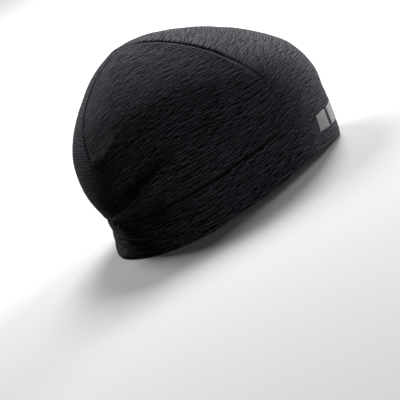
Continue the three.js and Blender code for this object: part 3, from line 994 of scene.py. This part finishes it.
def make_ridge(name, line, closed=False):
    points, normals, size = line
    across = directions_across(points, normals, closed)
    turns = np.linspace(0, np.pi, RIDGE_POINTS)
    sides = np.cos(turns) * SEAM_WIDTH / 2
    depths = np.sin(turns) ** RIDGE_FLATNESS * SEAM_THICKNESS
    rings = (
        points[:, None]
        + across[:, None] * (sides * size[:, None])[..., None]
        - normals[:, None] * (depths * size[:, None])[..., None]
    )
    rows, columns = rings.shape[:2]
    faces = ring_quads(rows, columns, closed).tolist()
    if not closed:
        faces += [list(range(columns)), list(range((rows - 1) * columns, rows * columns))[::-1]]
    along = np.append(0, np.cumsum(np.linalg.norm(np.diff(points, axis=0), axis=1)))
    around = turns / np.pi * (SEAM_WIDTH + SEAM_THICKNESS)
    corner_map = [
        (along[vertex // columns], around[vertex % columns]) for face in faces for vertex in face
    ]
    return make_piece(name, rings.reshape(-1, 3), faces, [jersey_back], corner_map)


SEAM_LINES = {
    "dart_seam_front_right": dart_line("front_seam", 1),
    "dart_seam_back_right": dart_line("back_seam", 1),
    "dart_seam_back_left": dart_line("back_seam", -1),
    "dart_seam_front_left": dart_line("front_seam", -1),
    "band_seam": band_line(),
}
for node, line in SEAM_LINES.items():
    ridge = make_ridge("ridge_" + node, line, closed=node == "band_seam")
    put_on_hat(ridge, "thread", node)
    describe(ridge)

# %% [markdown]
# Overlock stitches
#
# The thread of an overlock seam repeats every few millimetres: one thread slants over the
# ridge, one comes back, and a chain runs along each edge. What repeats along a path is work
# for Geometry Nodes. One stitch is made of short Bezier threads, and is set at equal steps
# along the seam's line, turned by the line's tangent and by the way out of the cloth.
# Modelling each stitch, or an Array with a Curve modifier, would twist or stretch them.

# %% Overlock stitches
STITCH_PITCH = 2.2
THREAD_RADIUS = 0.16
STITCH_THREADS = [
    # where a thread starts, its two handles, and where it ends: along, across and up
    ((-0.5, -0.5, -0.75), (-0.4, -0.5, 0.35), (0.0, 0.4, 0.35), (0.1, 0.5, -0.75)),
    ((0.1, 0.5, -0.75), (0.1, 0.4, 0.4), (0.4, -0.4, 0.4), (0.5, -0.5, -0.75)),
    ((-0.5, -0.5, -0.6), (-0.2, -0.56, -0.45), (0.2, -0.56, -0.45), (0.5, -0.5, -0.6)),
    ((-0.4, 0.5, -0.6), (-0.1, 0.56, -0.45), (0.3, 0.56, -0.45), (0.6, 0.5, -0.6)),
]


def new_geometry_tree(name, sockets):
    """A Geometry Nodes group whose named inputs are these: pairs of a name and a type."""
    tree = bpy.data.node_groups.new(name, "GeometryNodeTree")
    tree.interface.new_socket("Geometry", in_out="INPUT", socket_type="NodeSocketGeometry")
    tree.interface.new_socket("Geometry", in_out="OUTPUT", socket_type="NodeSocketGeometry")
    for label, kind in sockets:
        tree.interface.new_socket(label, in_out="INPUT", socket_type=kind)
    return tree, Board(tree), tree.nodes.new("NodeGroupInput").outputs


def finish_tree(board, geometry, material):
    """Real geometry with its material, which every group ends in."""
    real = board.add("GeometryNodeRealizeInstances", (geometry,)).outputs[0]
    painted = board.add("GeometryNodeSetMaterial", {"Geometry": real, "Material": material})
    board.put(painted.outputs[0], board.add("NodeGroupOutput").inputs[0])


def bake_tree(piece, tree, values):
    """Runs the group on the piece, and turns the result into the piece's plain mesh."""
    modifier = piece.modifiers.new("nodes", "NODES")
    modifier.node_group = tree
    for item in tree.interface.items_tree:
        if item.item_type == "SOCKET" and item.in_out == "INPUT" and item.name in values:
            modifier[item.identifier] = values[item.name]
    graph = bpy.context.evaluated_depsgraph_get()
    mesh = bpy.data.meshes.new_from_object(piece.evaluated_get(graph), depsgraph=graph)
    piece.modifiers.remove(modifier)
    work = bmesh.new()
    work.from_mesh(mesh)
    bmesh.ops.recalc_face_normals(work, faces=work.faces)
    work.to_mesh(mesh)
    work.free()
    piece.data = mesh
    mesh.shade_smooth()
    mesh.name = piece.name


def thread_tube(board, bezier, radius, sides):
    ring = board.add("GeometryNodeCurvePrimitiveCircle", {0: sides, 4: radius}, mode="RADIUS")
    tube = {"Curve": bezier, "Profile Curve": ring.outputs[0], "Fill Caps": True}
    return board.add("GeometryNodeCurveToMesh", tube).outputs[0]


def bezier_thread(board, points, resolution):
    names = ("Start", "Start Handle", "End Handle", "End")
    values = dict(zip(names, points), Resolution=resolution)
    return board.add("GeometryNodeCurvePrimitiveBezierSegment", values).outputs[0]


def make_stitch_tree():
    tree, board, given = new_geometry_tree("overlock", [
        ("Pitch", "NodeSocketFloat"), ("Thread Radius", "NodeSocketFloat"),
        ("Material", "NodeSocketMaterial"),
    ])
    curve = board.add("GeometryNodeMeshToCurve", {"Mesh": given["Geometry"]}).outputs[0]
    stops = board.add("GeometryNodeResampleCurve", mode="LENGTH")
    board.put(curve, stops.inputs["Curve"])
    board.put(given["Pitch"], stops.inputs["Length"])
    stitch = board.add("GeometryNodeJoinGeometry")
    size = np.array([STITCH_PITCH, SEAM_WIDTH, SEAM_THICKNESS]) * MM
    for thread in STITCH_THREADS:
        bezier = bezier_thread(board, [tuple(size * place) for place in thread], 6)
        tube = thread_tube(board, bezier, given["Thread Radius"], 4)
        tree.links.new(tube, stitch.inputs[0])
    out = board.add("GeometryNodeInputNamedAttribute", {"Name": "out"}, data_type="FLOAT_VECTOR")
    tangent = board.add("GeometryNodeInputTangent")
    turn = board.add(
        "FunctionNodeAxesToRotation", (out.outputs[0], tangent.outputs[0]),
        primary_axis="Z", secondary_axis="X",
    )
    placed = board.add("GeometryNodeInstanceOnPoints", {
        "Points": stops.outputs[0], "Instance": stitch.outputs[0], "Rotation": turn.outputs[0],
    })
    finish_tree(board, placed.outputs[0], given["Material"])
    return tree


def make_stitches(name, line, tree, closed):
    points, normals, size = line
    crest = points - normals * (SEAM_THICKNESS * size[:, None])
    mesh = bpy.data.meshes.new(name)
    count = len(crest)
    edges = [(i, (i + 1) % count) for i in range(count if closed else count - 1)]
    mesh.from_pydata((crest * MM).tolist(), edges, [])
    out = mesh.attributes.new("out", "FLOAT_VECTOR", "POINT")
    out.data.foreach_set("vector", (-normals).astype(np.float32).ravel())
    piece = bpy.data.objects.new(name, mesh)
    bpy.context.collection.objects.link(piece)
    bake_tree(piece, tree, {
        "Pitch": STITCH_PITCH * MM, "Thread Radius": THREAD_RADIUS * MM, "Material": seam_thread,
    })
    return piece


stitch_tree = make_stitch_tree()
for node, line in SEAM_LINES.items():
    stitches = make_stitches("stitches_" + node, line, stitch_tree, closed=node == "band_seam")
    put_on_hat(stitches, "thread")
    describe(stitches)

# %% [markdown]
# Reflective film
#
# Five plain blocks of thin film sit on the front of the hem. Each is a rounded rectangle
# that bends with the cloth. Shrinkwrap could press a flat plate onto the hem, but the
# outline's own formula puts every point of the film at an exact height above the cloth.

# %% Film blocks on the hem
BLOCK_COUNT = 5
BLOCK_WIDTH = 15
BLOCK_GAP = 5
BLOCK_FOOT = 13
BLOCK_HEAD = 27.5
BLOCK_CORNER = 0.9
BLOCK_SIDE_STEPS = 10
BLOCK_CORNER_STEPS = 5
BLOCK_LOOPS = [(1.0, 0.02), (1.0, 0.12), (0.985, 0.17), (0.85, 0.17), (0.6, 0.17), (0.3, 0.17)]
FILM_GREY = (0.30, 0.30, 0.31, 1)
FILM_GRAIN_GREY = (0.19, 0.19, 0.20, 1)


def film_material():
    material, tree, shader = principled("reflective film")
    board = Board(tree)
    x, y = course_place(board)
    grain = board.noise(board.stretched(x, y, 0.5, 0.5), detail=3, roughness=0.7)
    worn = board.noise(board.stretched(x, y, 7, 3), detail=3)
    share = board.ramp(board.math("MULTIPLY_ADD", worn, 0.5, grain), 0.6, 1.0)
    board.put(board.blend(share, FILM_GREY, FILM_GRAIN_GREY), shader.inputs["Base Color"])
    _, stitches = stitch_faces(board, x, y)
    relief = board.math("MULTIPLY_ADD", grain, 0.6, board.math("MULTIPLY", stitches, 0.5))
    board.put(board.bump(relief, 0.06), shader.inputs["Normal"])
    set_surface(shader, 0.5, 0.4)
    return material


def angle_at_run(run):
    """The angle at a distance round the hem from the middle of the forehead."""
    angles = np.linspace(-120, 120, 961)
    ring = outline_point(np.full(len(angles), 1.0), angles)
    along = np.append(0, np.cumsum(np.linalg.norm(np.diff(ring, axis=0), axis=1)))
    return np.interp(run, along - np.interp(0, angles, along), angles)


def block_outline():
    """A rounded rectangle about its middle, in mm of run and height, in the order that
    makes its faces point out."""
    half = np.array([BLOCK_WIDTH, BLOCK_HEAD - BLOCK_FOOT]) / 2
    places = []
    for quarter, signs in enumerate([(1, 1), (-1, 1), (-1, -1), (1, -1)]):
        middle = (half - BLOCK_CORNER) * signs
        turns = np.radians(90 * quarter + np.linspace(0, 90, BLOCK_CORNER_STEPS + 1))
        places.append(middle + BLOCK_CORNER * np.stack([np.cos(turns), np.sin(turns)], axis=1))
    corners = np.vstack(places)
    outline = []
    for start, end in zip(corners, np.roll(corners, -1, axis=0)):
        steps = BLOCK_SIDE_STEPS if np.linalg.norm(end - start) > BLOCK_CORNER else 1
        outline += [mix(start, end, step / steps) for step in range(steps)]
    return np.array(outline)


def make_block(index, material):
    outline = block_outline()
    middle = np.array([
        (index - (BLOCK_COUNT - 1) / 2) * (BLOCK_WIDTH + BLOCK_GAP), (BLOCK_FOOT + BLOCK_HEAD) / 2
    ])
    flat = np.vstack([middle + outline * scale for scale, _ in BLOCK_LOOPS] + [middle, middle])
    lifts = [np.full(len(outline), lift) for _, lift in BLOCK_LOOPS]
    lifts = np.concatenate(lifts + [[BLOCK_LOOPS[-1][1], BLOCK_LOOPS[0][1]]])
    levels = np.interp(flat[:, 1], LEVELS[:3, 0], range(3))
    points = cloth_point(levels, angle_at_run(flat[:, 0]), -lifts)
    rows, columns = len(BLOCK_LOOPS), len(outline)
    faces = ring_quads(rows, columns).tolist()
    top, bottom = rows * columns, rows * columns + 1
    last = top - columns
    for column in range(columns):
        beside = (column + 1) % columns
        faces += [[last + beside, last + column, top], [column, beside, bottom]]
    corner_map = flat[[vertex for face in faces for vertex in face]]
    return make_piece(f"film_block_{index + 1}", points, faces, [material], corner_map)


film = film_material()
for index in range(BLOCK_COUNT):
    block = make_block(index, film)
    put_on_hat(block, "reflective_print", f"reflective_block_{index + 1}")
    describe(block)

# %% [markdown]
# Wool fuzz
#
# Wool isn't smooth: short fibre ends stand off the cloth and soften its outline. Geometry
# Nodes scatters them over a coarse copy of the cloth. Each fibre is a short bent thread,
# turned and tilted at random. A hair system could do it as well, but its strands wouldn't
# be plain geometry that can be kept with the hat.

# %% Wool fibres
FIBRE_DENSITY = 84000
FIBRE_RADIUS = 0.028
FIBRE_SEED = 5
FIBRE_SHAPE = ((0, 0, -0.1), (0.5, 0.1, 0.7), (1.2, -0.15, 0.75), (1.9, 0.1, 0.35))
FIBRE_TILTS = ((-0.35, -0.75, 0.0), (0.35, 0.25, 6.283))
FIBRE_SCALES = (0.45, 1.15)
FIBRE_GREY = (0.030, 0.028, 0.034, 1)
GROUND_START = 0.25
GROUND_ROWS = 60
GROUND_COLUMNS = 220


def make_fibre_tree():
    tree, board, given = new_geometry_tree("wool fibres", [
        ("Density", "NodeSocketFloat"), ("Seed", "NodeSocketInt"),
        ("Fibre Radius", "NodeSocketFloat"), ("Material", "NodeSocketMaterial"),
    ])
    points = board.add("GeometryNodeDistributePointsOnFaces", {
        "Mesh": given["Geometry"], "Density": given["Density"], "Seed": given["Seed"],
    }, distribute_method="RANDOM")
    tilt = board.add("FunctionNodeRandomValue", {
        0: FIBRE_TILTS[0], 1: FIBRE_TILTS[1], "Seed": given["Seed"],
    }, data_type="FLOAT_VECTOR")
    scale = board.add("FunctionNodeRandomValue", {
        2: FIBRE_SCALES[0], 3: FIBRE_SCALES[1], "Seed": given["Seed"],
    }, data_type="FLOAT")
    turned = board.add("FunctionNodeRotateRotation", rotation_space="LOCAL")
    board.put(points.outputs["Rotation"], turned.inputs[0])
    euler = board.add("FunctionNodeEulerToRotation", (tilt.outputs[0],))
    board.put(euler.outputs[0], turned.inputs[1])
    bezier = bezier_thread(board, [tuple(value * MM for value in place) for place in FIBRE_SHAPE], 4)
    fibre = thread_tube(board, bezier, given["Fibre Radius"], 3)
    placed = board.add("GeometryNodeInstanceOnPoints", {
        "Points": points.outputs["Points"], "Instance": fibre,
        "Rotation": turned.outputs[0], "Scale": scale.outputs[1],
    })
    finish_tree(board, placed.outputs[0], given["Material"])
    return tree


def make_fibres():
    levels = even_levels(GROUND_START, DART_TOP, GROUND_ROWS)
    angles = np.arange(GROUND_COLUMNS) * 360 / GROUND_COLUMNS
    rings = cloth_point(levels[:, None], angles[None, :])
    faces = ring_quads(*rings.shape[:2]).tolist()
    piece = make_piece("wool_fibres", rings.reshape(-1, 3), faces, [])
    material, _, shader = principled("wool fibre")
    set_surface(shader, 0.6, 0.3, FIBRE_GREY)
    bake_tree(piece, make_fibre_tree(), {
        "Density": FIBRE_DENSITY, "Seed": FIBRE_SEED,
        "Fibre Radius": FIBRE_RADIUS * MM, "Material": material,
    })
    return piece


wool_fibres = make_fibres()
put_on_hat(wool_fibres, "knit")
describe(wool_fibres)
